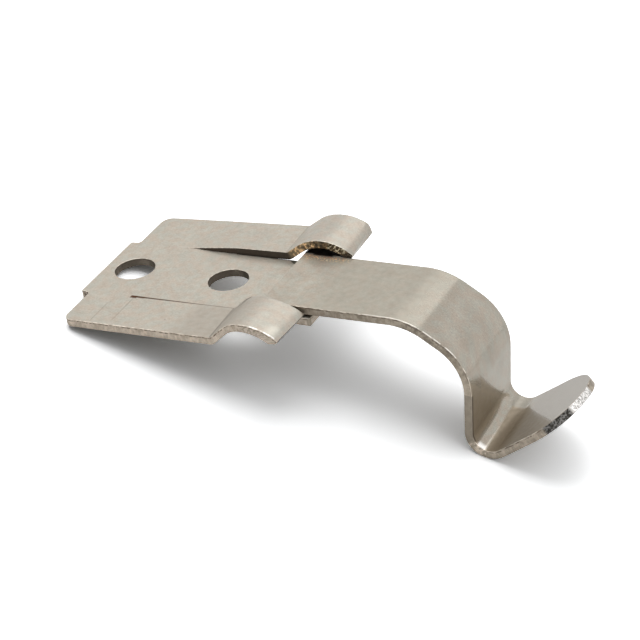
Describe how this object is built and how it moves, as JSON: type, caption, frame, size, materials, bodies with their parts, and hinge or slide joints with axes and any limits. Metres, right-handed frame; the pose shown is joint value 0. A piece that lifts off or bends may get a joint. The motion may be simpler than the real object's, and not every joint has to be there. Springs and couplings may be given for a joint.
{
  "type": "placard clip",
  "caption": "Riveted spring clip: a flat plate with hooked side tabs holds a bent leaf tongue whose turned-up lip grips a placard's edge.",
  "frame": {"origin": "on the plate's underside, midway between the two rivet holes", "axes": "+X along the clip toward the lip, +Y across the clip toward the taller hook, +Z out of the plate on the side of the hooks"},
  "size_m": [0.0618, 0.025, 0.0193],
  "materials": {
    "plate_steel": "satin nickel plate",
    "tongue_steel": "satin nickel plate"
  },
  "bodies": {
    "root": {"base_plate": "plate_steel", "spring_tongue": "tongue_steel"}
  },
  "joints": []
}
